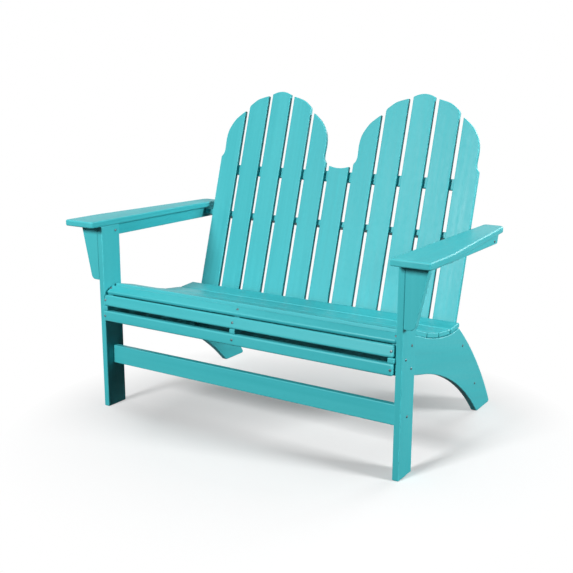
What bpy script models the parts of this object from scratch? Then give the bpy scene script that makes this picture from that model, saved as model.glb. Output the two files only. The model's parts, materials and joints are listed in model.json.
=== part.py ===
"""Adirondack loveseat in recycled plastic lumber, at its real size in metres.

+X is to the right as seen from in front of the seat, +Y runs from the front to the back, +Z is up.
The boards are placed from the front legs' front faces, and one empty then moves the whole
loveseat so that the world origin is on the floor at the middle of its footprint.
"""

import math

import bmesh
import bpy
from mathutils import Matrix, Vector

# Lumber and joints
frame_thickness = 0.0216  # legs, seat panels, arm rails, battens and the stretcher
slat_thickness = 0.016  # seat slats and back slats
lumber_width = 0.0889  # legs, seat slats and the board behind the back
batten_width = 0.0384  # the two front boards and the upper back rail
stretcher_width = 0.066
edge_radius = 0.003  # small round on every board's edges
joint_gap = 0.0003  # clear space between pieces that touch

# Front legs and stretcher
width_over_legs = 1.1888
arm_height = 0.664  # floor to the arms' undersides, which are the legs' tops
stretcher_height = 0.1596  # floor to the front stretcher's lower edge
stretcher_setback = 0.0344  # behind the legs' front faces

# Two boards under the seat's front edge
lower_board_height = 0.3275  # floor to the lower board's lower edge
front_board_space = 0.019  # open band between the two boards
front_board_reach = 0.0115  # the boards' front faces in front of the legs
batten_edge_radius = 0.006  # on the two boards and the nosing
upper_board_tilt = math.radians(15)
board_end_clearance = 0.004  # from the seat boards' ends to the legs' inner faces

# Seat
nosing_inset = 0.0157  # the nosing's lower front edge behind the upper front board's front edge
nosing_slope = math.radians(27)
crest_gap = 0.0118  # from the nosing's top face back to the crest, where the first seat slat starts
crest_rise = 0.0218  # the crest above the nosing's front edge
seat_drop = 0.0842  # from the crest down to the seat's lowest joint
seat_joint_shares = (1.0, 0.745, 0.388, 0.127, 0.0)  # of seat_drop, from the crest backwards
seat_slat_gap = 0.005
rear_slat_width = 0.0745
rear_slat_rise = 0.0055

# Seat panels, which are also the rear legs
panel_top_inset = 0.0095  # the panels' top ends before the rear slat's rear edge
panel_front_drop = 0.0027  # the supports' lower front corner below the lower front board
arch_start_setback = 0.17  # where the straight lower edge turns into the arch
arch_start_drop = 0.0419  # below the lower front corner
arch_bow = 0.045  # depth of the arch over its chord
foot_setback = 0.177  # the rear foot's front corner behind the back's front face
foot_length = 0.1275
back_edge_bow = 0.0215
foot_front_radius = 0.016
foot_back_radius = 0.007
centre_support_offset = -0.007  # the middle support stands a little left of centre
centre_support_drop = 0.0349  # its lower rear corner below its lower front corner

# Back
recline = math.radians(16.525)
seat_back_gap = 0.0195  # from the seat's rear edge to the back's front face, at the back's start
back_start_drop = 0.01  # the back's start below the seat's lowest joint
slat_count_each_side = 5
back_side_clearance = 0.0243  # from the outer slats to the arms
back_slat_gap = 0.0164
back_slat_drop = 0.105  # the slats' lower ends below the back's start, along the back
arch_top = 0.7935  # the arches' tops above the back's start, along the back
arch_rise = 0.2335  # from an arch's upright sides to its top
arch_shares = (  # (across, down) along each half of an arch, of its half width and of its rise
    (0.0, 0.0), (0.091, 0.012), (0.182, 0.047), (0.245, 0.074), (0.347, 0.101), (0.464, 0.141),
    (0.542, 0.196), (0.616, 0.279), (0.694, 0.347), (0.781, 0.413), (0.868, 0.490), (0.933, 0.585),
    (0.977, 0.675), (1.0, 0.78),
)
shoulder_step = 0.0123  # how far the slats at an arch's ends stand out below the arch
shoulder_drop = 0.002  # from the arch's upright side down to the shoulder's cove
shoulder_rise = 0.0285
centre_slat_top = 0.5165
centre_slat_scoop = 0.0075
upper_rail_height = 0.4605  # the upper rail's lower edge, along the back
upper_rail_inset = 0.009  # its ends inside the outer slats' outer edges
lower_rail_drop = 0.032  # the middle of the board at arm level below the arms' undersides
seat_rail_height = -0.173  # the rail behind the slats' lower ends
seat_rail_width = 0.14
seat_rail_screw_drop = 0.0325  # below the rail's upper edge

# Arms
arm_thickness = 0.0216
arm_overhang = 0.0525  # in front of the legs
arm_inner_overhang = 0.0045  # inside the legs' inner faces
arm_width = 0.1272
arm_taper_start = 0.1
arm_rear_width = 0.0727
arm_rear_reach = 0.0223  # the arms' rear ends behind the screws in the board at arm level
arm_edge_radius = 0.005
arm_corner_radius = 0.008
arm_rear_outer_radius = 0.024
arm_rear_inner_radius = 0.012
arm_taper_radius = 0.6
arm_rail_height = 0.043
arm_rail_reach = 0.0288  # the rails' lower rear corners behind the same screws
arm_rail_rake = 0.014  # their upper rear corners further back

# Corbels under the arms
corbel_thickness = 0.0235
corbel_top_width = 0.0755
corbel_bottom_width = 0.034
corbel_lift = 0.0477  # the corbels' lower ends above the upper front board's edge
corbel_corner_radius = 0.018

# Screws
screw_shank_radius = 0.0022
screw_head_radius = 0.0045
screw_head_height = 0.0018
screw_tip_cover = 0.0012  # left uncut in a panel behind the tip of a screw through a leg
foot_screw_tip_cover = 0.0036
screw_tip = 0.005
hole_clearance = 0.0003
cut_overrun = 0.004
leg_screw_shares = ((0.71, 0.847), (0.27, 0.489), (0.703, 0.111))  # of the leg and the front boards
leg_top_screw_share = 0.776  # of the leg's width, from its front edge
foot_screw_lead = 0.038  # in front of the rear foot's front corner
foot_screw_height = 0.117
screw_head_shares = ((0.0, 1.0), (0.7, 0.8), (1.0, 0.3), (1.0, 0.0))  # of its radius and height

# Fineness of round shapes
edge_segments = 2
corner_steps = 4
bow_steps = 9
top_steps = 6
screw_sides = 8
round_profile = 0.5  # the share that makes a rounded edge a quarter circle
rounded_from = math.radians(35)  # edges sharper than this are rounded
smooth_below = math.radians(40)  # edges flatter than this are shaded smooth

turquoise = (0.086, 0.515, 0.546, 1.0)
steel = (0.42, 0.44, 0.45, 1.0)
board_roughness = 0.5
steel_roughness = 0.35

outer_leg_face = width_over_legs / 2
inner_leg_face = outer_leg_face - frame_thickness
seat_half_length = inner_leg_face - board_end_clearance
panel_inner_face = inner_leg_face - joint_gap - frame_thickness
upper_board_height = lower_board_height + batten_width + front_board_space
support_front_height = lower_board_height - panel_front_drop
corbel_height = arm_height - upper_board_height - batten_width - corbel_lift
arm_inner_edge = inner_leg_face - arm_inner_overhang
back_half_width = arm_inner_edge - back_side_clearance
back_slat_pitch = (back_half_width + back_slat_gap / 2) / (slat_count_each_side + 1 / 2)
back_slat_width = back_slat_pitch - back_slat_gap
arch_half_width = (slat_count_each_side * back_slat_pitch - back_slat_gap) / 2 - shoulder_step
shoulder_height = arch_top - arch_rise - shoulder_drop - shoulder_rise
behind_slats = slat_thickness + joint_gap
screw_length = 2 * frame_thickness - screw_tip_cover
foot_screw_length = frame_thickness - foot_screw_tip_cover


def clear_scene():
    for old in list(bpy.data.objects):
        bpy.data.objects.remove(old, do_unlink=True)


def add_empty(name, place, parent=None):
    empty = bpy.data.objects.new(name, None)
    bpy.context.collection.objects.link(empty)
    empty.matrix_basis = place
    empty.parent = parent
    return empty


def add_finish(name, colour, roughness, metallic):
    finish = bpy.data.materials.new(name + "_finish")
    finish.use_nodes = True
    surface = finish.node_tree.nodes["Principled BSDF"]
    surface.inputs["Base Color"].default_value = colour
    surface.inputs["Roughness"].default_value = roughness
    surface.inputs["Metallic"].default_value = metallic
    finish.diffuse_color = colour
    return finish


def add_piece(name, shape, place, parent, colour=turquoise, roughness=board_roughness, metallic=0.0):
    """One sub-part: an object whose mesh is the bmesh, shaded smooth with its sharp edges kept."""
    mesh = bpy.data.meshes.new(name)
    shape.to_mesh(mesh)
    shape.free()
    mesh.shade_smooth()
    mesh.set_sharp_from_angle(angle=smooth_below)
    piece = bpy.data.objects.new(name, mesh)
    bpy.context.collection.objects.link(piece)
    piece.matrix_basis = place
    piece.parent = parent
    mesh.materials.append(add_finish(name, colour, roughness, metallic))
    return piece


def axes_from(normal):
    """The turn that stands an outline drawn in local X and Y upright across the named axis."""
    return {
        "X": Matrix(((0, 0, 1, 0), (1, 0, 0, 0), (0, 1, 0, 0), (0, 0, 0, 1))),
        "Y": Matrix(((1, 0, 0, 0), (0, 0, -1, 0), (0, 1, 0, 0), (0, 0, 0, 1))),
        "Z": Matrix.Identity(4),
    }[normal]


def round_edges(shape, radius):
    """Rounds the outward edges, and leaves the inward corners of a notch square."""
    sharp = [edge for edge in shape.edges if edge.calc_face_angle_signed() > rounded_from]
    bmesh.ops.bevel(shape, geom=sharp, offset=radius, segments=edge_segments, profile=round_profile,
                    affect="EDGES", clamp_overlap=True)


def cut_board(outline, thickness, normal, radius=edge_radius):
    """A board cut to an outline, with its thickness centred on the outline's plane.

    The outline runs anticlockwise in (y, z) for a normal along X, in (x, z) for one along Y
    and in (x, y) for one along Z.
    """
    shape = bmesh.new()
    rims = [[shape.verts.new((u, v, side * thickness / 2)) for u, v in outline] for side in (-1, 1)]
    shape.faces.new(reversed(rims[0]))
    shape.faces.new(rims[1])
    for i in range(len(outline)):
        j = (i + 1) % len(outline)
        shape.faces.new((rims[0][i], rims[0][j], rims[1][j], rims[1][i]))
    bmesh.ops.recalc_face_normals(shape, faces=shape.faces)
    round_edges(shape, radius)
    bmesh.ops.transform(shape, matrix=axes_from(normal), verts=shape.verts)
    return shape


def plank(size_x, size_y, size_z, radius=edge_radius):
    """A straight board with rounded edges, centred on its own origin."""
    corners = ((-size_x, -size_y), (size_x, -size_y), (size_x, size_y), (-size_x, size_y))
    return cut_board([(x / 2, y / 2) for x, y in corners], size_z, "Z", radius)


def rounded_corner(before, corner, after, radius):
    """The points of the arc of the given radius that touches both lines at the corner."""
    back, ahead = (before - corner).normalized(), (after - corner).normalized()
    half = back.angle(ahead) / 2
    centre = corner + (back + ahead).normalized() * radius / math.sin(half)
    first = corner + back * radius / math.tan(half) - centre
    turn = math.pi - 2 * half
    if first.cross(corner - centre) < 0:
        turn = -turn
    return [centre + Matrix.Rotation(turn * i / corner_steps, 2) @ first for i in range(corner_steps + 1)]


def rounded_outline(corners):
    """The outline through (x, y, radius) corners, each rounded to its radius where that isn't zero."""
    points = [Vector(corner[:2]) for corner in corners]
    outline = []
    for i, (x, y, radius) in enumerate(corners):
        if radius:
            outline += rounded_corner(points[i - 1], points[i], points[(i + 1) % len(points)], radius)
        else:
            outline.append(points[i])
    return [tuple(point) for point in outline]


def bowed_line(start, end, bow):
    """The inner points of the arc from start to end that stands off its chord by bow, to its left."""
    start, end = Vector(start), Vector(end)
    chord = end - start
    radius = (chord.length_squared / 4 + bow * bow) / (2 * abs(bow))
    half = math.asin(chord.length / 2 / radius)
    left = Vector((-chord.y, chord.x)).normalized() * math.copysign(1, bow)
    centre = (start + end) / 2 - left * (radius - abs(bow))
    points = []
    for i in range(1, bow_steps):
        angle = half * (1 - 2 * i / bow_steps)
        points.append(centre + radius * (left * math.cos(angle) - chord.normalized() * math.sin(angle)))
    return points


def turned(profile, sides):
    """A closed turned shape about Z, from (radius, height) points that run from its top to its tip."""
    shape = bmesh.new()
    rings = []
    for radius, height in profile:
        if radius:
            angles = [2 * math.pi * i / sides for i in range(sides)]
            ring = [shape.verts.new((radius * math.cos(a), radius * math.sin(a), height)) for a in angles]
        else:
            ring = [shape.verts.new((0, 0, height))] * sides
        rings.append(ring)
    for upper, lower in zip(rings, rings[1:]):
        for i in range(sides):
            j = (i + 1) % sides
            around = (upper[i], lower[i], lower[j], upper[j])
            shape.faces.new(dict.fromkeys(around))
    bmesh.ops.recalc_face_normals(shape, faces=shape.faces)
    return shape


def upper_board_ways():
    """The directions up the upper front board's face and inwards through it, in (y, z)."""
    along = Vector((math.sin(upper_board_tilt), math.cos(upper_board_tilt)))
    return along, Vector((along.y, -along.x))


def nosing_line():
    """The nosing's front top edge (y, z) and the direction its top face rises in."""
    along, inward = upper_board_ways()
    board_top = Vector((-front_board_reach, upper_board_height)) + along * (batten_width + joint_gap)
    foot = board_top + inward * nosing_inset
    rising = Vector((math.cos(nosing_slope), math.sin(nosing_slope)))
    return foot + Vector((-rising.y, rising.x)) * slat_thickness, rising


def seat_joints():
    """Points (y, z) on the seat's top surface: the crest, each joint between two slats, and the rear edge."""
    nose, rising = nosing_line()
    crest_height = nose.y + crest_rise
    heights = [crest_height - seat_drop * (1 - share) for share in seat_joint_shares]
    points = [Vector((nose.x + batten_width * rising.x + crest_gap, heights[0]))]
    pitch = lumber_width + seat_slat_gap
    for height in heights[1:]:
        last = points[-1]
        points.append(Vector((last.x + math.sqrt(pitch**2 - (height - last.y) ** 2), height)))
    last = points[-1]
    reach = rear_slat_width + seat_slat_gap / 2
    points.append(last + Vector((math.sqrt(reach**2 - rear_slat_rise**2), rear_slat_rise)))
    return points


def lowered(points, depth):
    """The polyline moved down by depth, square to each of its stretches."""
    ways = [(b - a).normalized() for a, b in zip(points, points[1:])]
    downs = [Vector((way.y, -way.x)) for way in ways]
    moved = [points[0] + downs[0] * depth]
    for point, before, after in zip(points[1:-1], downs, downs[1:]):
        middle = (before + after).normalized()
        moved.append(point + middle * depth / middle.dot(before))
    moved.append(points[-1] + downs[-1] * depth)
    return moved


def at_height(start, end, height):
    """The point of the line through start and end at the given height."""
    return start + (end - start) * (height - start.y) / (end.y - start.y)


def crossing(point, way, other, other_way):
    """Where two lines in a plane cross, each given by a point and a direction."""
    return point + way * (other - point).cross(other_way) / way.cross(other_way)


def nosing_underside():
    """A point on the line under the nosing, which the supports follow there, and its direction."""
    nose, way = nosing_line()
    return nose + Vector((way.y, -way.x)) * (slat_thickness + joint_gap), way


def support_front():
    """The front of a seat support, from the top down: the line behind the upper front board, the
    tongue that fills the band between the two boards, and the top of the line behind the lower one."""
    along, inward = upper_board_ways()
    corner = Vector((-front_board_reach, upper_board_height))
    behind = corner + inward * (frame_thickness + joint_gap)
    tongue_top = corner + inward * edge_radius / 2 - along * joint_gap
    tongue_back = behind - along * joint_gap
    lower_top = lower_board_height + batten_width + joint_gap
    top = crossing(*nosing_underside(), behind, along)
    return [top, tongue_back, tongue_top, Vector((tongue_top.x, lower_top)),
            Vector((frame_thickness + joint_gap - front_board_reach, lower_top))]


def support_top():
    """The top edge of a seat support, from under the crest to the rear end of the last slat."""
    under = lowered(seat_joints(), slat_thickness + joint_gap)
    return [crossing(*nosing_underside(), under[0], under[1] - under[0])] + under[1:]


def panel_outline():
    """A seat panel's outline in (y, z), anticlockwise from its lower front corner."""
    top = support_top()
    way = (top[-1] - top[-2]).normalized()
    rear_top = top[-1] - way * panel_top_inset
    front = support_front()
    arch_start = Vector((arch_start_setback, support_front_height - arch_start_drop))
    foot_front = back_start().x + foot_setback
    foot_back = foot_front + foot_length
    outline = [(front[-1].x, support_front_height, 0), (*arch_start, 0)]
    outline += [(*point, 0) for point in bowed_line(arch_start, (foot_front, 0), arch_bow)]
    outline += [(foot_front, 0, foot_front_radius), (foot_back, 0, foot_back_radius)]
    outline += [(*point, 0) for point in bowed_line((foot_back, 0), rear_top, -back_edge_bow)]
    outline += [(*rear_top, 0)]
    outline += [(*point, 0) for point in reversed(top[:-1])]
    outline += [(*point, 0) for point in front]
    return rounded_outline(outline)


def back_start():
    """(y, z) of the point on the back's front face that heights along the back are counted from."""
    joints = seat_joints()
    return Vector((joints[-1].x + seat_back_gap, joints[-2].y - back_start_drop))


def back_point(height, depth):
    """(y, z) of the point this far up the back's front face and this far behind it."""
    up = Vector((math.sin(recline), math.cos(recline)))
    return back_start() + up * height + Vector((up.y, -up.x)) * depth


def lower_rail_height():
    """Height along the back of the middle of the flat board at arm level."""
    level = back_point(0, behind_slats + lumber_width / 2).y
    return (arm_height - lower_rail_drop - level) / math.cos(recline)


def arm_board_middle():
    """(y, z) of the middle of the flat board at arm level, where the arm rails' screws enter it."""
    return back_point(lower_rail_height(), behind_slats + lumber_width / 2)


def centre_support_outline():
    """The middle support's outline: the seat's curve on top, ending against the middle back slat."""
    top = support_top()
    front = support_front()
    low, high = back_point(0, -joint_gap), back_point(arch_top, -joint_gap)
    rear_top = at_height(low, high, top[-1].y)
    rear_low = at_height(low, high, support_front_height - centre_support_drop)
    outline = [Vector((front[-1].x, support_front_height)), rear_low, rear_top]
    outline += list(reversed(top)) + front
    return [tuple(point) for point in outline]


def arch_line():
    """An arch's whole edge from right to left: points (across, height along the back)."""
    half = [(across * arch_half_width, arch_top - down * arch_rise) for across, down in arch_shares]
    return list(reversed(half)) + [(-x, height) for x, height in half[1:]]


def arch_height(across):
    """Height of the arch's edge along the back, this far from the arch's middle."""
    for (right, low), (left, high) in zip(arch_line(), arch_line()[1:]):
        if left <= across <= right:
            return high + (low - high) * (across - left) / (right - left)
    return arch_line()[0][1]


def shoulder(across, side):
    """The small cove where an arch's side turns out to the slat's full width, from the top down."""
    step = across - arch_half_width
    points = [(side * arch_half_width, arch_top - arch_rise)]
    for i in range(corner_steps + 1):
        angle = math.pi / 2 * i / corner_steps
        points.append((side * (arch_half_width + step * (1 - math.cos(angle))),
                       shoulder_height + shoulder_rise * (1 - math.sin(angle))))
    return points


def back_slat_outline(number):
    """Slat outline in (x, height along the back), about the slat's own middle, anticlockwise."""
    half = back_slat_width / 2
    base = [(-half, -back_slat_drop), (half, -back_slat_drop)]
    if number == 0:
        middle_radius = (half**2 + centre_slat_scoop**2) / (2 * centre_slat_scoop)
        top = []
        for i in range(top_steps + 1):
            x = half * (1 - 2 * i / top_steps)
            sag = math.sqrt(middle_radius**2 - x**2) - (middle_radius - centre_slat_scoop)
            top.append((x, centre_slat_top - sag))
        return base + top
    middle = (slat_count_each_side + 1) / 2
    offset = (abs(number) - middle) * back_slat_pitch * math.copysign(1, number)
    left, right = offset - half, offset + half
    start, end = min(right, arch_half_width), max(left, -arch_half_width)
    inner = [(x, height) for x, height in arch_line() if end + edge_radius < x < start - edge_radius]
    top = [(start, arch_height(start))] + inner + [(end, arch_height(end))]
    if right > arch_half_width:
        top = list(reversed(shoulder(right, 1))) + top
    if left < -arch_half_width:
        top = top + shoulder(-left, -1)
    return base + [(x - offset, height) for x, height in top]


def arm_outline(side):
    """An arm's outline from above, anticlockwise: straight in front, then tapering to the back."""
    outer = arm_inner_edge + arm_width
    rear = arm_board_middle().x + arm_rear_reach
    corners = [
        (arm_inner_edge, -arm_overhang, arm_corner_radius),
        (outer, -arm_overhang, arm_corner_radius),
        (outer, arm_taper_start, arm_taper_radius),
        (arm_inner_edge + arm_rear_width, rear, arm_rear_outer_radius),
        (arm_inner_edge, rear, arm_rear_inner_radius),
    ]
    outline = rounded_outline(corners)
    return outline if side > 0 else [(-x, y) for x, y in reversed(outline)]


def corbel_outline(side):
    """A corbel's outline in (x, z) about the leg's outer face at the arm's underside."""
    corners = [
        (joint_gap, -corbel_height, 0),
        (corbel_bottom_width, -corbel_height, corbel_corner_radius),
        (corbel_top_width, -joint_gap, 0),
        (joint_gap, -joint_gap, 0),
    ]
    outline = rounded_outline(corners)
    return outline if side > 0 else [(-x, z) for x, z in reversed(outline)]


def arm_rail_outline():
    """An arm rail's outline in (y, z): behind the corbel, with a slanted rear end."""
    top = arm_height - joint_gap
    front = corbel_thickness + joint_gap
    rear = arm_board_middle().x + arm_rail_reach
    return [(front, top - arm_rail_height), (rear, top - arm_rail_height),
            (rear + arm_rail_rake, top), (front, top)]


def shifted(x, y, z):
    return Matrix.Translation((x, y, z))


def add_legs(body):
    legs = {}
    height = arm_height - joint_gap
    for side, word in ((-1, "left"), (1, "right")):
        at = shifted(side * (inner_leg_face + frame_thickness / 2), lumber_width / 2, height / 2)
        legs[side] = add_piece("front_leg_" + word, plank(frame_thickness, lumber_width, height), at, body)
    return legs


def add_seat_supports(body):
    supports = {}
    shape_at = {-1: "seat_panel_left", 1: "seat_panel_right"}
    for side, name in shape_at.items():
        shape = cut_board(panel_outline(), frame_thickness, "X")
        x = side * (inner_leg_face - joint_gap - frame_thickness / 2)
        supports[side] = add_piece(name, shape, shifted(x, 0, 0), body)
    shape = cut_board(centre_support_outline(), frame_thickness, "X")
    supports[0] = add_piece("middle_seat_support", shape, shifted(centre_support_offset, 0, 0), body)
    return supports


def add_front_boards(body):
    """The upper board leans back, the lower board is upright, and both lie in the supports' notches."""
    half = batten_width / 2
    tilt = Matrix.Rotation(-upper_board_tilt, 4, "X")
    corner = shifted(0, -front_board_reach, upper_board_height)
    places = {
        "upper": corner @ tilt @ shifted(0, frame_thickness / 2, half),
        "lower": shifted(0, frame_thickness / 2 - front_board_reach, lower_board_height + half),
    }
    boards = {}
    for word, at in places.items():
        shape = plank(2 * seat_half_length, frame_thickness, batten_width, batten_edge_radius)
        boards[word] = add_piece(word + "_front_board", shape, at, body)
    return boards


def seat_slat_places():
    """For the nosing and each slat: its name, width, and the place of its top face's middle."""
    nose, rising = nosing_line()
    middle = nose + rising * batten_width / 2
    tilt = Matrix.Rotation(nosing_slope, 4, "X")
    places = [("seat_nosing", batten_width, shifted(0, middle.x, middle.y) @ tilt)]
    joints = seat_joints()
    for i, (start, end) in enumerate(zip(joints, joints[1:]), 1):
        way = end - start
        after = seat_slat_gap / 2 if i < len(joints) - 1 else 0
        width = way.length - seat_slat_gap / 2 - after
        middle = start + way.normalized() * (seat_slat_gap + width) / 2
        tilt = Matrix.Rotation(math.atan2(way.y, way.x), 4, "X")
        places.append(("seat_slat_%d" % i, width, shifted(0, middle.x, middle.y) @ tilt))
    return places


def add_seat_slats(body):
    slats = {}
    for name, width, at in seat_slat_places():
        radius = batten_edge_radius if name == "seat_nosing" else edge_radius
        shape = plank(2 * seat_half_length, width, slat_thickness, radius)
        slats[name] = add_piece(name, shape, at @ shifted(0, 0, -slat_thickness / 2), body)
    return slats


def add_stretcher(body):
    """The board between the two front legs."""
    at = shifted(0, stretcher_setback + frame_thickness / 2, stretcher_height + stretcher_width / 2)
    length = 2 * (inner_leg_face - joint_gap)
    return add_piece("front_stretcher", plank(length, frame_thickness, stretcher_width), at, body)


def add_back(back):
    """Eleven slats side by side, and the three rails that they are screwed to from behind."""
    count = slat_count_each_side
    for number in range(-count, count + 1):
        shape = cut_board(back_slat_outline(number), slat_thickness, "Y")
        at = shifted(number * back_slat_pitch, slat_thickness / 2, 0)
        add_piece("back_slat_%02d" % (number + count + 1), shape, at, back)
    upper_at = shifted(0, behind_slats + frame_thickness / 2, upper_rail_height + batten_width / 2)
    lower_at = shifted(0, behind_slats + lumber_width / 2, lower_rail_height())
    seat_at = shifted(0, behind_slats + frame_thickness / 2, seat_rail_height + seat_rail_width / 2)
    upper_length = 2 * (back_half_width - upper_rail_inset)
    lower_length = 2 * (outer_leg_face - joint_gap)
    seat_length = 2 * (panel_inner_face - joint_gap)
    return {
        "upper": add_piece("upper_back_rail", plank(upper_length, frame_thickness, batten_width),
                           upper_at, back),
        "lower": add_piece("lower_back_rail", plank(lower_length, lumber_width, frame_thickness),
                           lower_at, back),
        "seat": add_piece("rear_seat_rail", plank(seat_length, frame_thickness, seat_rail_width),
                          seat_at, back),
    }


def add_arms(body):
    rails = {}
    for side, word in ((-1, "left"), (1, "right")):
        rail_x = side * (outer_leg_face + joint_gap + frame_thickness / 2)
        rail = cut_board(arm_rail_outline(), frame_thickness, "X")
        rails[side] = add_piece("arm_rail_" + word, rail, shifted(rail_x, 0, 0), body)
        corbel = cut_board(corbel_outline(side), corbel_thickness, "Y")
        corbel_at = shifted(side * outer_leg_face, corbel_thickness / 2, arm_height)
        add_piece("corbel_" + word, corbel, corbel_at, body)
        arm = cut_board(arm_outline(side), arm_thickness, "Z", arm_edge_radius)
        add_piece("arm_" + word, arm, shifted(0, 0, arm_height + arm_thickness / 2), body)
    return rails


def screw_profile(length):
    """(radius, height) points of a pan-head screw, whose head rests on height 0."""
    head = [(across * screw_head_radius, joint_gap + up * screw_head_height)
            for across, up in screw_head_shares]
    return head + [(screw_shank_radius, joint_gap), (screw_shank_radius, screw_tip - length), (0, -length)]


def add_screw(name, at, parent, boards, length=screw_length):
    """A screw whose local +Z points out of the surface, and its hole through the boards."""
    add_piece(name, turned(screw_profile(length), screw_sides), at, parent, steel, steel_roughness, 1.0)
    radius = screw_shank_radius + hole_clearance
    bottom = -length - hole_clearance
    shape = turned([(0, cut_overrun), (radius, cut_overrun), (radius, bottom), (0, bottom)], screw_sides)
    cutter = add_piece(name + "_hole", shape, at, parent)
    cutter.hide_render = True
    cutter.display_type = "WIRE"
    for board in boards:
        cut = board.modifiers.new(name + "_hole", "BOOLEAN")
        cut.operation = "DIFFERENCE"
        cut.object = cutter


def facing(x, y, z, way):
    """A place with local +Z along the given direction."""
    return shifted(x, y, z) @ Vector(way).to_track_quat("Z", "Y").to_matrix().to_4x4()


def add_leg_screws(body, legs, supports, stretcher, arm_rails):
    """Through each leg from outside into its seat panel and the stretcher, and from inside into the rail."""
    low, high = lower_board_height, upper_board_height + batten_width
    for side, word in ((-1, "left"), (1, "right")):
        for number, (across, up) in enumerate(leg_screw_shares, 1):
            at = facing(side * outer_leg_face, across * lumber_width, low + up * (high - low), (side, 0, 0))
            add_screw("leg_screw_%s_%d" % (word, number), at, body, (legs[side], supports[side]))
        at = facing(side * outer_leg_face, stretcher_setback + frame_thickness / 2,
                    stretcher_height + stretcher_width / 2, (side, 0, 0))
        add_screw("stretcher_screw_" + word, at, body, (legs[side], stretcher))
        at = facing(side * inner_leg_face, lumber_width * leg_top_screw_share,
                    arm_height - arm_rail_height / 2, (-side, 0, 0))
        add_screw("leg_top_screw_" + word, at, body, (legs[side], arm_rails[side]))


def add_panel_screws(body, supports, rails, arm_rails):
    """Through the panels into the rear seat rail, low in their feet, and through the arm rails
    into the board behind the back."""
    panel_face = inner_leg_face - joint_gap
    rail_face = outer_leg_face + joint_gap + frame_thickness
    screw_height = seat_rail_height + seat_rail_width - seat_rail_screw_drop
    seat_rail = back_point(screw_height, behind_slats + frame_thickness / 2)
    arm_board = arm_board_middle()
    foot_screw_setback = back_start().x + foot_setback - foot_screw_lead
    for side, word in ((-1, "left"), (1, "right")):
        at = facing(side * panel_face, seat_rail.x, seat_rail.y, (side, 0, 0))
        add_screw("seat_rail_screw_" + word, at, body, (supports[side], rails["seat"]))
        at = facing(side * panel_face, foot_screw_setback, foot_screw_height, (side, 0, 0))
        add_screw("foot_screw_" + word, at, body, (supports[side],), foot_screw_length)
        at = facing(side * rail_face, arm_board.x, arm_board.y, (side, 0, 0))
        add_screw("arm_rail_screw_" + word, at, body, (arm_rails[side], rails["lower"]))


def add_front_screws(body, supports, boards, slats):
    """Through the two front boards and the nosing into the three seat supports."""
    panel_middle = inner_leg_face - joint_gap - frame_thickness / 2
    columns = {-1: -panel_middle, 0: centre_support_offset, 1: panel_middle}
    words = {-1: "left", 0: "middle", 1: "right"}
    tilt = Matrix.Rotation(-upper_board_tilt, 4, "X")
    upper = shifted(0, -front_board_reach, upper_board_height) @ tilt @ shifted(0, 0, batten_width / 2)
    nosing = seat_slat_places()[0][2]
    outward = Matrix.Rotation(math.pi / 2, 4, "X")
    for column, x in columns.items():
        word, support = words[column], supports[column]
        add_screw("upper_board_screw_" + word, shifted(x, 0, 0) @ upper @ outward, body,
                  (boards["upper"], support))
        at = facing(x, -front_board_reach, lower_board_height + batten_width / 2, (0, -1, 0))
        add_screw("lower_board_screw_" + word, at, body, (boards["lower"], support))
        add_screw("nosing_screw_" + word, shifted(x, 0, 0) @ nosing, body,
                  (slats["seat_nosing"], support))


def main():
    clear_scene()
    reach = max(y for y, z in panel_outline())
    middle = (reach - arm_overhang) / 2
    body = add_empty("loveseat", shifted(0, -middle, 0))
    back_at = shifted(0, *back_start()) @ Matrix.Rotation(-recline, 4, "X")
    back = add_empty("back_frame", back_at, body)
    legs = add_legs(body)
    supports = add_seat_supports(body)
    boards = add_front_boards(body)
    slats = add_seat_slats(body)
    stretcher = add_stretcher(body)
    rails = add_back(back)
    arm_rails = add_arms(body)
    add_leg_screws(body, legs, supports, stretcher, arm_rails)
    add_panel_screws(body, supports, rails, arm_rails)
    add_front_screws(body, supports, boards, slats)


main()
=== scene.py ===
"""The adirondack loveseat's looks: turquoise plastic lumber, stainless screws, white floor and soft light."""

import json
import math

import bmesh
import bpy
import numpy as np
from mathutils import Matrix, Vector


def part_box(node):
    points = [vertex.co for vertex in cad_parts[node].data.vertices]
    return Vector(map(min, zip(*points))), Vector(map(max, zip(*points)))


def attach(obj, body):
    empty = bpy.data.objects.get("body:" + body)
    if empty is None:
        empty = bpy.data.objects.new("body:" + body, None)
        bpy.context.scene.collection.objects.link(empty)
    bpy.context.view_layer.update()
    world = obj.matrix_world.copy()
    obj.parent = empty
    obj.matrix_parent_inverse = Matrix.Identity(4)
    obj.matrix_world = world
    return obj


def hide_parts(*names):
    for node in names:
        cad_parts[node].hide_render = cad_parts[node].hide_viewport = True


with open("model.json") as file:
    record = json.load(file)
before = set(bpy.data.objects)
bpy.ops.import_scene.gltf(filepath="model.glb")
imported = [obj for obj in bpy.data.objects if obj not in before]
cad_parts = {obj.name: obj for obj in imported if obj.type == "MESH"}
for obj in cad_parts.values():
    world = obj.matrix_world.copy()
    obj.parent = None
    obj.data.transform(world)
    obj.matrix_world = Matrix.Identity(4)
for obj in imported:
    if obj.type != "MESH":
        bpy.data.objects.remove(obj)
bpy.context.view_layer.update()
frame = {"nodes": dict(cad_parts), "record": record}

# Boards
edge_radius = 0.003
wide_edge_radii = {"arm_left": 0.005, "arm_right": 0.005, "upper_front_board": 0.006,
                   "lower_front_board": 0.006, "seat_nosing": 0.006}
edge_steps = 4  # steps round each board's rounded edges
corner_steps = 4  # steps round an outline's tight corners
fair_steps = 4  # steps along each stretch of an outline
support_width = 0.0002  # narrow band that keeps a board's faces flat beside their rounded edges
corner_spare = 1.1  # a tight corner's radius over the edge's radius, at least
short_side = 0.0036  # sides shorter than this belong to a tight corner
long_side_ratio = 4  # a side this much longer than its neighbour is straight where they meet
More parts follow.
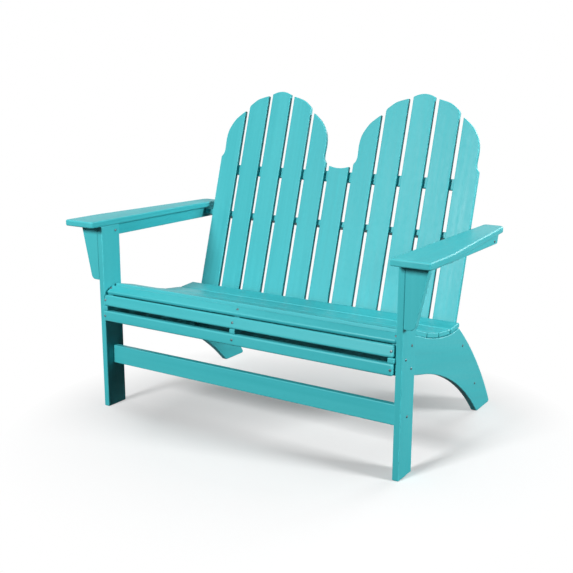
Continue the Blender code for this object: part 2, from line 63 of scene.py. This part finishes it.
square_on = 0.02  # a face is part of the wall where its normal lies this near the board's plane
same_place = 2e-5  # points of a solid's outline that lie nearer than this are one point
same_point = 1e-7  # points of a screw's surface that lie nearer than this are joined
same_way = math.radians(1)  # faces that turn less than this from each other face one way
sharp_turn = math.radians(50)
smooth_below = math.radians(40)
grain_shift = Vector((3.71, 1.37, 0.93))  # moves each board to its own stretch of the grain

# Screws
head_radius = 0.0045
head_height = 0.0022
recess_half_width = 0.0013
recess_depth = 0.0014
recess_wall = 0.00012
solid_head = 0.0018  # the head's height on the solid screws
head_rings = 16
screw_sides = 24
shank_radius = 0.0019
thread_height = 0.0006
thread_pitch = 0.0024
thread_rings = 90
tip_length = 0.006
head_turn = 2.399963  # radians from each screw's recess to the next one's

# Screws that hold the back slats from behind and the arms from beneath
back_slat_count = 11
slat_screw_spread = 0.021
arm_screw_shares = (0.12, 0.5, 0.86)  # along the arm rail
plain_head_rings = 6
plain_head_sides = 12

# Colours, as red, green, blue and alpha
lumber_colour = (0.038, 0.415, 0.456, 1)
lumber_light_colour = (0.070, 0.485, 0.524, 1)
lumber_deep_colour = (0.028, 0.370, 0.410, 1)
steel_light_colour = (0.17, 0.24, 0.26, 1)
steel_dark_colour = (0.07, 0.11, 0.12, 1)
# painted shadow: the floor's grey to the camera near the loveseat, a pool that fades to white further out
shadow_pool_grey = (0.8, 0.8, 0.8, 1)
floor_bounce_colour = (0.04, 0.04, 0.04, 1)  # the floor as the loveseat's matt light meets it
plain_white = (1, 1, 1, 1)

# Marks on a material: features in a metre along, across and through, and the noise's detail
fine_grain = ((9, 420, 420), 3)
streak_grain = ((2.2, 75, 75), 4)
broad_grain = ((0.9, 11, 11), 2)
mottle_grain = ((60, 85, 85), 5)
mottle_noise_roughness = 0.65
plain_noise_roughness = 0.55
tint_grain = ((0.16, 0.16, 0.16), 0)
saw_grain = ((700, 14, 700), 2)
turning_grain = ((2600, 2600, 2600), 3)
stain_grain = ((330, 330, 330), 4)

# Each from a mark's low and high values to its least and most effect
streak_shade = (0.3, 0.7, 0, 1)
broad_shade = (0.35, 0.75, 0, 0.55)
mottle_shade = (0.45, 0.8, 0, 0.35)
tint_shade = (0.3, 0.7, 0, 0.3)
# painted highlight along the boards' rounded edges: its share of the pale colour, from the mottle's low and
# high values
edge_highlight_shade = (0.2, 0.7, 0.35, 0.75)
cut_shade = (0.6, 0.9, 0, 1)
saw_shade = (0.35, 0.7, 0.1, 0.6)
stain_shade = (0.35, 0.7, 0, 1)
streak_roughness = (0.3, 0.7, 0.36, 0.47)
mottle_roughness = (0.3, 0.7, 0, 0.07)
turning_roughness = (0.3, 0.7, 0.32, 0.52)
sawn_roughness = 0.2
lumber_specular = 0.28

# Relief: each mark's weight, the height in metres and the strength
fine_relief = 0.55
mottle_relief = 0.45
streak_relief = 0.5
sawn_relief = 1.2
lumber_relief = (0.00025, 0.55)
steel_relief = (0.00008, 0.4)

# Studio
floor_half_size = 30.0
shadow_middle = (0.12, -0.18, 0)
shadow_radius = 0.5  # the floor is painted grey inside this, a painted shadow pool that also takes the real shadow, and fades to white by the next
white_radius = 1.0
glossy_floor = 0.25  # share of the floor's paleness that shows in glossy surfaces
shadow_lift = 0.1  # share of plain white that lightens the shadow to the camera
world_strength = 0.03
lamp_target = (0, 0, 0.45)
lamps = (  # name, place, width and power
    ("front", (-1.2, -6.2, 3.4), 1.6, 500),
    ("right", (6.8, 0.4, 3.0), 1.8, 515),
    ("rear", (1.4, 6.4, 3.0), 3.0, 150),
    ("left", (-6.6, 0.6, 2.2), 3.0, 90),
    ("overhead", (0.1, 0.0, 4.2), 2.6, 22),
)

# The photograph's camera: lens and centre in its pixels, angles in degrees, place in metres
picture_size = 573
focal_length = 904.37
centre_offset = (5.268, 0.511)
camera_heading = 32.415
camera_pitch = 13.038
camera_roll = 0.2496
camera_place = (1.6628, -2.2793, 1.1741)  # from the middle of the front legs' front faces, on the floor
sensor_width = 36


def solid_corners(node):
    """A solid's triangles as corners (faces, 3, 3), with their unit normals and areas."""
    mesh = frame["nodes"][node].data
    mesh.calc_loop_triangles()
    places = np.empty(len(mesh.vertices) * 3)
    mesh.vertices.foreach_get("co", places)
    index = np.empty(len(mesh.loop_triangles) * 3, np.int32)
    mesh.loop_triangles.foreach_get("vertices", index)
    corners = places.reshape(-1, 3)[index.reshape(-1, 3)]
    cross = np.cross(corners[:, 1] - corners[:, 0], corners[:, 2] - corners[:, 0])
    length = np.linalg.norm(cross, axis=1)
    whole = length > 0
    return corners[whole], cross[whole] / length[whole, None], length[whole] / 2


def main_way(normals, areas):
    """The direction that the largest area faces: the weighted mean of the triangles that face its way."""
    alike = normals @ normals.T > math.cos(same_way)
    flat = alike[np.argmax(alike @ areas)]
    way = areas[flat] @ normals[flat]
    return way / np.linalg.norm(way)


def board_axes(normals, areas):
    """Rows: the directions along, across and through a board, from its faces and its largest flat edge."""
    through = main_way(normals, areas)
    wall = np.abs(normals @ through) < square_on
    across = main_way(normals[wall], areas[wall])
    across = across - through * (across @ through)
    across /= np.linalg.norm(across)
    return np.array([np.cross(across, through), across, through])


def wall_outline(local, normals, radius):
    """A solid's outline in its board's plane, anticlockwise, as (points, 2).

    The outline is the closed line where the board's wall meets the rounded edge of its upper face, one
    radius below it. Each wall triangle gives its sides in order, and the sides on that line are linked
    end to end: a run of points doubles in length each time that the step from point to point doubles.
    """
    level = local[..., 2].max() - radius
    wall = local[np.abs(normals[:, 2]) < square_on]
    starts, ends = wall.reshape(-1, 3), np.roll(wall, -1, axis=1).reshape(-1, 3)
    on_line = (np.abs(starts[:, 2] - level) < same_place) & (np.abs(ends[:, 2] - level) < same_place)
    both = np.concatenate([starts[on_line, :2], ends[on_line, :2]])
    index = (np.abs(both[:, None] - both[None]).max(2) < same_place).argmax(1)
    count = len(both) // 2
    ahead = np.zeros(len(both), int)
    ahead[index[:count]] = index[count:]
    order = index[:1]
    while len(order) < count:
        order, ahead = np.concatenate([order, ahead[order]]), ahead[ahead]
    outline = both[order[:count]]
    following = np.roll(outline, -1, axis=0)
    area = (outline[:, 0] * following[:, 1] - outline[:, 1] * following[:, 0]).sum()
    return outline if area > 0 else outline[::-1]


def sides_of(outline):
    """Unit direction and length of each side, from its point to the next."""
    ahead = np.roll(outline, -1, axis=0) - outline
    length = np.linalg.norm(ahead, axis=1)
    return ahead / length[:, None], length


def rounded_corners(outline, least, pointed):
    """The outline with each run of short sides replaced by one arc of at least the given radius.

    A pointed outline has the corner C itself there.

    The long sides before and after a run are drawn on to the corner C where they cross. With a turn
    of angle T there, the arc starts r * tan(T / 2) before C, and a point at angle a along it is
    r * sin(a) ahead and r * (1 - cos(a)) to the left of its start.
    """
    outline = np.roll(outline, -int(np.argmax(sides_of(outline)[1])), axis=0)
    way, length = sides_of(outline)
    short = length < short_side
    before = np.flatnonzero(~short[:-1] & short[1:])
    after = np.flatnonzero(short[:-1] & ~short[1:]) + 1
    if len(after) < len(before):
        after = np.append(after, 0)
    along, on = way[before], way[after]
    sine = along[:, 0] * on[:, 1] - along[:, 1] * on[:, 0]
    turn = np.arctan2(sine, (along * on).sum(1))
    apart = outline[after] - outline[before]
    reach = (apart[:, 0] * on[:, 1] - apart[:, 1] * on[:, 0]) / sine
    corner = outline[before] + along * reach[:, None]
    kept = np.flatnonzero(~short & ~np.roll(short, 1))
    if pointed:
        points = np.concatenate([outline[kept], corner])
        return points[np.argsort(np.concatenate([kept, before + 0.5]), kind="stable")]
    tangent = np.linalg.norm(corner - outline[(before + 1) % len(outline)], axis=1)
    radius = np.maximum(tangent / np.tan(turn / 2), least)
    start = corner - along * (radius * np.tan(turn / 2))[:, None]
    left = np.stack([-along[:, 1], along[:, 0]], axis=1)
    angle = turn[:, None] * np.linspace(0, 1, corner_steps + 1)
    arcs = (start[:, None] + radius[:, None, None] * (np.sin(angle)[..., None] * along[:, None]
            + (1 - np.cos(angle))[..., None] * left[:, None]))
    between = np.linspace(0, 1, corner_steps + 3)[1:-1]
    place = np.concatenate([kept, (before[:, None] + between).ravel()])
    points = np.concatenate([outline[kept], arcs.reshape(-1, 2)])
    return points[np.argsort(place, kind="stable")]


def faired(outline):
    """A smooth line through the outline's points, in cubic Hermite stretches.

    A point's tangent is that of the circle through it and its neighbours. Beside a much longer side
    it is that side's own direction, and a sharp corner keeps the directions of both its sides.
    """
    on, length = sides_of(outline)
    back, back_length = np.roll(on, 1, axis=0), np.roll(length, 1)
    tangent = back * length[:, None] + on * back_length[:, None]
    tangent[length > long_side_ratio * back_length] = on[length > long_side_ratio * back_length]
    tangent[back_length > long_side_ratio * length] = back[back_length > long_side_ratio * length]
    tangent /= np.linalg.norm(tangent, axis=1)[:, None]
    sharp = ((on * back).sum(1) < math.cos(sharp_turn))[:, None]
    leaving = np.where(sharp, on, tangent) * length[:, None]
    arriving = np.roll(np.where(sharp, back, tangent), -1, axis=0) * length[:, None]
    share = (np.arange(fair_steps) / fair_steps)[None, :, None]
    start, end = outline[:, None], np.roll(outline, -1, axis=0)[:, None]
    points = (start * (2 * share**3 - 3 * share**2 + 1) + end * (3 * share**2 - 2 * share**3)
              + leaving[:, None] * (share**3 - 2 * share**2 + share)
              + arriving[:, None] * (share**3 - share**2))
    return points.reshape(-1, 2)


def inward(outline):
    """For each point of an anticlockwise outline, the step that moves both its sides in by one unit."""
    on, _ = sides_of(outline)
    normal = np.stack([-on[:, 1], on[:, 0]], axis=1)
    before = np.roll(normal, 1, axis=0)
    middle = normal + before
    return middle * (2 / (middle**2).sum(1))[:, None]


def without_folds(outline, reach):
    """The outline without the points that would pass a corner beside them as it moves in by the reach."""
    while True:
        on, _ = sides_of(outline)
        moved, _ = sides_of(outline + inward(outline) * reach)
        folded = np.flatnonzero((on * moved).sum(1) < 0)
        if not len(folded):
            return outline
        straightness = (on * np.roll(on, 1, axis=0)).sum(1)
        ends = (folded + 1) % len(outline)
        gone = np.where(straightness[folded] < straightness[ends], ends, folded)
        outline = np.delete(outline, gone, axis=0)


def edge_profile(thickness, radius):
    """How far in and how high each ring round a board lies, and how much of it is rounded edge.

    A quarter circle of the given radius at each face: in = r * (1 - sin a), height = r * (1 - cos a)
    above the lower face, mirrored for the upper one, with a narrow flat band beyond each end.
    """
    angle = np.linspace(0, math.pi / 2, edge_steps + 1)
    inset = np.concatenate([[radius + support_width], radius * (1 - np.sin(angle)), [0]])
    height = np.concatenate([[0], radius * (1 - np.cos(angle)), [radius + support_width]]) - thickness / 2
    rounded = np.concatenate([[0], np.sin(2 * angle), [0]])
    return (np.concatenate([inset, inset[::-1]]), np.concatenate([height, -height[::-1]]),
            np.concatenate([rounded, rounded[::-1]]))


def add_mesh(name, points, faces, body="root"):
    """A smooth-shaded piece that rides on the loveseat."""
    mesh = bpy.data.meshes.new(name)
    mesh.from_pydata(points.tolist(), [], faces)
    mesh.shade_smooth()
    mesh.set_sharp_from_angle(angle=smooth_below)
    piece = bpy.data.objects.new(name, mesh)
    bpy.context.scene.collection.objects.link(piece)
    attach(piece, body)
    return piece


def set_vectors(mesh, name, values):
    """Stores one vector for each of the mesh's points."""
    layer = mesh.attributes.new(name, "FLOAT_VECTOR", "POINT")
    layer.data.foreach_set("vector", np.ascontiguousarray(values, np.float32).ravel())


def grid_faces(rings, sides):
    """The four-sided faces of a closed band of rings, facing outwards when the rings run upwards."""
    ring, side = np.meshgrid(np.arange(rings - 1), np.arange(sides), indexing="ij")
    on = (side + 1) % sides
    low, high = ring * sides, (ring + 1) * sides
    corners = (low + side, low + on, high + on, high + side)
    return np.stack(corners, axis=-1).reshape(-1, 4)


def add_board(node, number, material):
    """A board with finely rounded edges in place of its solid: the edge profile carried round the outline.

    Its points keep two vectors: the grain's place, and how strongly the rounded edge takes its painted
    highlight and how far the wall is cut across.
    """
    corners, normals, areas = solid_corners(node)
    axes = board_axes(normals, areas)
    local = corners @ axes.T
    radius = wide_edge_radii.get(node, edge_radius)
    outline = wall_outline(local, normals @ axes.T, radius)
    pointed = node.startswith("back_slat")
    outline = faired(rounded_corners(outline, corner_spare * radius + support_width, pointed))
    outline = outline.clip(local[..., :2].min((0, 1)), local[..., :2].max((0, 1)))
    outline = without_folds(outline, radius + support_width)
    high, low = local[..., 2].max(), local[..., 2].min()
    inset, height, rounded = edge_profile(high - low, radius)
    step = inward(outline)
    flat = outline[None] + inset[:, None, None] * step[None]
    rings, sides = flat.shape[:2]
    depth = np.broadcast_to((height + (high + low) / 2)[:, None, None], (rings, sides, 1))
    place = np.concatenate([flat, depth], axis=2).reshape(-1, 3)
    caps = [list(range(sides))[::-1], list(range((rings - 1) * sides, rings * sides))]
    piece = add_mesh(node + "_lumber", place @ axes, grid_faces(rings, sides).tolist() + caps)
    set_vectors(piece.data, "grain", place - place.mean(0) + np.array(grain_shift) * number)
    cut = np.broadcast_to((step[:, 0] ** 2 / (step**2).sum(1))[None], (rings, sides))
    cut = cut * (inset < radius + support_width / 2)[:, None]
    # painted highlight on the rounded edges, strongest halfway round each one
    edge_highlight_mask = np.broadcast_to(rounded[:, None], (rings, sides))
    set_vectors(piece.data, "finish", np.stack([edge_highlight_mask, cut, 0 * cut], axis=2).reshape(-1, 3))
    piece.data.materials.append(material)
    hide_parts(node)


def head_surface(rings, sides):
    """A pan head's outer surface about Z, from its middle out and down to the board, as (rings, sides, 3).

    At radius r the dome's height is h * sqrt(1 - (r / R) ** 3). The square recess takes it down by its
    depth where the larger of |x| and |y| is less than the recess's half width, with steep walls.
    """
    radius = np.concatenate([np.linspace(0, 1, rings - 1), [1]])[:, None] * head_radius
    angle = np.linspace(0, 2 * math.pi, sides, endpoint=False)[None]
    x, y = radius * np.cos(angle), radius * np.sin(angle)
    height = head_height * np.sqrt(np.maximum(1 - (radius / head_radius) ** 3, 0)) + 0 * angle
    wall = (recess_half_width - np.maximum(np.abs(x), np.abs(y))) / recess_wall
    height = height - recess_depth * np.clip(wall + 1 / 2, 0, 1)
    return np.stack([x, y, height], axis=2)


def shank_surface(length):
    """A threaded shank about Z, from under the head down to its tip, as (rings, sides, 3).

    The radius is the shank's, plus a triangular thread that climbs one pitch in each turn:
    r = shank + thread * |2 * frac(z / pitch - angle / (2 * pi)) - 1|, drawn in to nothing at the tip.
    """
    z = np.linspace(0, -length, thread_rings)[:, None]
    angle = np.linspace(0, 2 * math.pi, screw_sides, endpoint=False)[None]
    wave = np.abs(2 * np.mod(z / thread_pitch - angle / (2 * math.pi), 1) - 1)
    taper = np.clip((z + length) / tip_length, 0, 1)
    radius = (shank_radius + thread_height * wave) * taper
    return np.stack([radius * np.cos(angle), radius * np.sin(angle), z + 0 * angle], axis=2)


def add_screw(name, place, surface, material):
    """A screw of one turned surface, whose rings run from the head's middle down, closed at both ends."""
    rings, sides = surface.shape[:2]
    caps = [list(range(sides)), list(range((rings - 1) * sides, rings * sides))[::-1]]
    points = surface.reshape(-1, 3) @ np.array(place.to_3x3()).T + np.array(place.translation)
    piece = add_mesh(name, points, grid_faces(rings, sides)[:, ::-1].tolist() + caps)
    shape = bmesh.new()
    shape.from_mesh(piece.data)
    bmesh.ops.remove_doubles(shape, verts=shape.verts, dist=same_point)
    shape.to_mesh(piece.data)
    shape.free()
    piece.data.materials.append(material)
    return piece


def outward_place(point, way, turn):
    """A matrix with its origin at the point and local +Z along the given direction, turned about it."""
    facing = Vector(way).to_track_quat("Z", "Y").to_matrix().to_4x4()
    return Matrix.Translation(point) @ facing @ Matrix.Rotation(turn, 4, "Z")


def screw_line(node):
    """The middle of the screw's head, its tip and its direction out of the board, from its solid.

    The tip is the point furthest from the solid's middle, and the head's middle is furthest from the tip.
    """
    points = solid_corners(node)[0].reshape(-1, 3)
    tip = points[np.argmax(np.linalg.norm(points - points.mean(0), axis=1))]
    top = points[np.argmax(np.linalg.norm(points - tip, axis=1))]
    length = np.linalg.norm(top - tip)
    return top, tip, (top - tip) / length


def add_named_screw(node, number, material):
    """A threaded pan-head screw with a square recess, in place of its solid."""
    top, tip, way = screw_line(node)
    foot = top - way * solid_head
    length = float(np.linalg.norm(foot - tip))
    surface = np.concatenate([head_surface(head_rings, screw_sides), shank_surface(length)])
    piece = add_screw(node + "_steel", outward_place(foot, way, head_turn * number), surface, material)
    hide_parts(node)


def add_plain_heads(material):
    """The screw heads behind the back slats' two upright rails, and under the arm rails."""
    surface = head_surface(plain_head_rings, plain_head_sides)
    slats = ["back_slat_%02d" % (number + 1) for number in range(back_slat_count)]
    count = 0
    for rail in ("upper_back_rail", "rear_seat_rail"):
        corners, normals, areas = solid_corners(rail)
        axes = board_axes(normals, areas)
        behind = axes[2] if axes[2][1] > 0 else -axes[2]
        local = corners.reshape(-1, 3) @ axes.T
        middle = (local.max(0) + local.min(0)) / 2 @ axes
        half = (local[:, 2].max() - local[:, 2].min()) / 2
        for slat in slats:
            low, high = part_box(slat)
            for side in (-1, 1):
                point = Vector(middle + behind * half)
                point.x = (low.x + high.x) / 2 + side * slat_screw_spread
                count += 1
                name = "%s_slat_screw_%02d" % (rail, count)
                add_screw(name, outward_place(point, behind, head_turn * count), surface, material)
    for rail in ("arm_rail_left", "arm_rail_right"):
        low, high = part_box(rail)
        for share in arm_screw_shares:
            point = Vector(((low.x + high.x) / 2, low.y + share * (high.y - low.y), low.z))
            count += 1
            name = "%s_arm_screw_%02d" % (rail, count)
            add_screw(name, outward_place(point, (0, 0, -1), head_turn * count), surface, material)


class Finish:
    """A new material and the few kinds of node that its pattern is made of."""

    def __init__(self, name):
        self.material = bpy.data.materials.new(name)
        self.material.use_nodes = True
        self.tree = self.material.node_tree
        self.surface = self.tree.nodes["Principled BSDF"]

    def node(self, kind, **settings):
        """A new node of the kind, with its settings."""
        made = self.tree.nodes.new(kind)
        for name, value in settings.items():
            setattr(made, name, value)
        return made

    def link(self, start, end):
        """Joins an output to an input."""
        self.tree.links.new(start, end)

    def noise(self, vector, grain, roughness=plain_noise_roughness):
        """Noise from 0 to 1 with the grain's number of features in a metre each way, and its detail."""
        stretch, detail = grain
        mapping = self.node("ShaderNodeMapping")
        mapping.inputs["Scale"].default_value = stretch
        self.link(vector, mapping.inputs["Vector"])
        noise = self.node("ShaderNodeTexNoise")
        noise.inputs["Scale"].default_value = 1
        noise.inputs["Detail"].default_value = detail
        noise.inputs["Roughness"].default_value = roughness
        self.link(mapping.outputs["Vector"], noise.inputs["Vector"])
        return noise.outputs["Fac"]

    def ranged(self, value, low, high, to_low, to_high):
        """The value carried from one range to another and held inside it."""
        made = self.node("ShaderNodeMapRange")
        for name, number in (("From Min", low), ("From Max", high), ("To Min", to_low), ("To Max", to_high)):
            made.inputs[name].default_value = number
        self.link(value, made.inputs["Value"])
        return made.outputs["Result"]

    def math(self, operation, first, second):
        """A sum, product or the like of two numbers, each a value or a socket."""
        made = self.node("ShaderNodeMath", operation=operation)
        for socket, value in zip(made.inputs, (first, second)):
            if isinstance(value, (int, float)):
                socket.default_value = value
            else:
                self.link(value, socket)
        return made.outputs["Value"]

    def mix(self, share, first, second):
        """Two colours mixed by a share, each a value or a socket."""
        made = self.node("ShaderNodeMix", data_type="RGBA")
        for name, value in (("Factor_Float", share), ("A_Color", first), ("B_Color", second)):
            socket = next(entry for entry in made.inputs if entry.identifier == name)
            if isinstance(value, (int, float, tuple)):
                socket.default_value = value
            else:
                self.link(value, socket)
        return next(entry for entry in made.outputs if entry.identifier == "Result_Color")

    def bump(self, height, distance, strength):
        """Relief on the surface: the height times the distance in metres, at the strength."""
        made = self.node("ShaderNodeBump")
        made.inputs["Distance"].default_value = distance
        made.inputs["Strength"].default_value = strength
        self.link(height, made.inputs["Height"])
        self.link(made.outputs["Normal"], self.surface.inputs["Normal"])


def lumber_finish(name):
    """Extruded plastic lumber: lengthwise streaks, mottling, a tint for each board, a painted highlight along
    the rounded edges, and pale sawn ends.
    """
    finish = Finish(name)
    grain = finish.node("ShaderNodeAttribute", attribute_name="grain").outputs["Vector"]
    stored = finish.node("ShaderNodeAttribute", attribute_name="finish").outputs["Vector"]
    marks = finish.node("ShaderNodeSeparateXYZ")
    finish.link(stored, marks.inputs[0])
    edge_highlight_mask, cut = marks.outputs[0], marks.outputs[1]
    fine = finish.noise(grain, fine_grain)
    streak = finish.noise(grain, streak_grain)
    broad = finish.noise(grain, broad_grain)
    mottle = finish.noise(grain, mottle_grain, mottle_noise_roughness)
    tint = finish.noise(grain, tint_grain)
    saw = finish.noise(grain, saw_grain)
    # painted highlight along the rounded edges, broken up by the mottle
    edge = finish.math("MULTIPLY", edge_highlight_mask, finish.ranged(mottle, *edge_highlight_shade))
    sawn = finish.math("MULTIPLY", finish.ranged(cut, *cut_shade), finish.ranged(saw, *saw_shade))
    shade = finish.mix(finish.ranged(streak, *streak_shade), lumber_deep_colour, lumber_colour)
    for share, colour in ((finish.ranged(broad, *broad_shade), lumber_light_colour),
                          (finish.ranged(mottle, *mottle_shade), lumber_deep_colour),
                          (finish.ranged(tint, *tint_shade), lumber_light_colour),
                          (edge, lumber_light_colour), (sawn, lumber_light_colour)):
        shade = finish.mix(share, shade, colour)
    finish.link(shade, finish.surface.inputs["Base Color"])
    rough = finish.ranged(streak, *streak_roughness)
    rough = finish.math("ADD", rough, finish.ranged(mottle, *mottle_roughness))
    rough = finish.math("ADD", rough, finish.math("MULTIPLY", sawn, sawn_roughness))
    finish.link(rough, finish.surface.inputs["Roughness"])
    relief = finish.math("MULTIPLY", fine, fine_relief)
    for mark, weight in ((mottle, mottle_relief), (streak, streak_relief), (sawn, sawn_relief)):
        relief = finish.math("ADD", relief, finish.math("MULTIPLY", mark, weight))
    finish.bump(relief, *lumber_relief)
    finish.surface.inputs["Specular IOR Level"].default_value = lumber_specular
    return finish.material


def steel_finish(name):
    """Stainless steel with fine turning marks, small stains and a little variation in gloss."""
    finish = Finish(name)
    place = finish.node("ShaderNodeTexCoord").outputs["Object"]
    turning = finish.noise(place, turning_grain)
    stain = finish.noise(place, stain_grain)
    shade = finish.mix(finish.ranged(stain, *stain_shade), steel_light_colour, steel_dark_colour)
    finish.link(shade, finish.surface.inputs["Base Color"])
    finish.link(finish.ranged(turning, *turning_roughness), finish.surface.inputs["Roughness"])
    finish.surface.inputs["Metallic"].default_value = 1.0
    finish.bump(turning, *steel_relief)
    return finish.material


def add_floor():
    """A floor painted grey near the loveseat, a painted shadow pool that also takes its real shadow, and
    plain white beyond.

    Matt surfaces get little light from it, as if it were dark, and glossy ones see a share of its paleness.
    """
    points = np.array([(-1, -1, 0), (1, -1, 0), (1, 1, 0), (-1, 1, 0)]) * floor_half_size
    mesh = bpy.data.meshes.new("studio_floor")
    mesh.from_pydata(points.tolist(), [], [(0, 1, 2, 3)])
    floor = bpy.data.objects.new("studio_floor", mesh)
    bpy.context.scene.collection.objects.link(floor)
    finish = Finish("studio_floor")
    seen = finish.node("ShaderNodeLightPath")
    glossy = finish.math("MULTIPLY", seen.outputs["Is Glossy Ray"], glossy_floor)
    through = finish.math("MAXIMUM", seen.outputs["Is Transmission Ray"], glossy)
    seen = finish.math("MAXIMUM", seen.outputs["Is Camera Ray"], through)
    # to the camera the floor is the painted shadow pool's grey, fading to white away from the middle
    colour = finish.mix(seen, floor_bounce_colour, shadow_pool_grey)
    finish.tree.nodes.remove(finish.surface)
    matt = finish.node("ShaderNodeBsdfDiffuse")
    finish.link(colour, matt.inputs["Color"])
    white = finish.node("ShaderNodeEmission")
    white.inputs["Color"].default_value = plain_white
    away = finish.node("ShaderNodeVectorMath", operation="DISTANCE")
    away.inputs[1].default_value = shadow_middle
    finish.link(finish.node("ShaderNodeTexCoord").outputs["Object"], away.inputs[0])
    share = finish.ranged(away.outputs["Value"], shadow_radius, white_radius, shadow_lift, 1)
    both = finish.node("ShaderNodeMixShader")
    finish.link(finish.math("MULTIPLY", share, seen), both.inputs[0])
    finish.link(matt.outputs[0], both.inputs[1])
    finish.link(white.outputs[0], both.inputs[2])
    finish.link(both.outputs[0], finish.tree.nodes["Material Output"].inputs["Surface"])
    mesh.materials.append(finish.material)


def add_world():
    """Dim, even light from all round; the camera, glossy and clear surfaces see plain white."""
    world = bpy.data.worlds.new("studio")
    bpy.context.scene.world = world
    world.use_nodes = True
    nodes, links = world.node_tree.nodes, world.node_tree.links
    path = nodes.new("ShaderNodeLightPath")
    seen = path.outputs["Is Camera Ray"]
    for ray in ("Is Glossy Ray", "Is Transmission Ray"):
        either = nodes.new("ShaderNodeMath")
        either.operation = "MAXIMUM"
        links.new(seen, either.inputs[0])
        links.new(path.outputs[ray], either.inputs[1])
        seen = either.outputs["Value"]
    level = nodes.new("ShaderNodeMapRange")
    level.inputs["To Min"].default_value = world_strength
    level.inputs["To Max"].default_value = 1
    links.new(seen, level.inputs["Value"])
    links.new(level.outputs["Result"], nodes["Background"].inputs["Strength"])
    nodes["Background"].inputs["Color"].default_value = plain_white


def add_lamp(name, place, size, power):
    """A square soft light at the place, aimed at the loveseat's middle."""
    lamp = bpy.data.lights.new(name, "AREA")
    lamp.shape = "SQUARE"
    lamp.size = size
    lamp.energy = power
    holder = bpy.data.objects.new(name, lamp)
    bpy.context.scene.collection.objects.link(holder)
    aim = (Vector(lamp_target) - Vector(place)).to_track_quat("-Z", "Y").to_matrix().to_4x4()
    holder.matrix_world = Matrix.Translation(place) @ aim


def add_camera():
    """The photograph's view: level looks right, upright looks up, and both are turned by the roll."""
    heading, pitch, roll = map(math.radians, (camera_heading, camera_pitch, camera_roll))
    front_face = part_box("front_leg_left")[0].y
    place = Vector((camera_place[0], front_face + camera_place[1], camera_place[2]))
    flat = math.cos(pitch)
    ahead = Vector((-math.sin(heading) * flat, math.cos(heading) * flat, -math.sin(pitch)))
    level = Vector((math.cos(heading), math.sin(heading), 0))
    upright = level.cross(ahead)
    right = level * math.cos(roll) + upright * math.sin(roll)
    up = upright * math.cos(roll) - level * math.sin(roll)
    camera = bpy.data.cameras.new("photograph")
    camera.sensor_width = sensor_width
    camera.lens = focal_length * sensor_width / picture_size
    camera.shift_x = -centre_offset[0] / picture_size
    camera.shift_y = centre_offset[1] / picture_size
    holder = bpy.data.objects.new("photograph", camera)
    bpy.context.scene.collection.objects.link(holder)
    turned = Matrix((right, up, -ahead)).transposed().to_4x4()
    holder.matrix_world = Matrix.Translation(place) @ turned
    bpy.context.scene.camera = holder


def main():
    """Dresses every solid of the loveseat, and adds its camera, floor, world and lamps."""
    add_camera()
    lumber = lumber_finish("turquoise_lumber")
    steel = steel_finish("stainless_steel")
    for number, entry in enumerate(frame["record"]["subparts"]):
        if entry["material_slot"] == "lumber":
            add_board(entry["node"], number, lumber)
        else:
            add_named_screw(entry["node"], number, steel)
    add_plain_heads(steel)
    add_floor()
    add_world()
    for lamp in lamps:
        add_lamp(*lamp)
    bpy.context.scene.view_settings.view_transform = "Standard"


main()
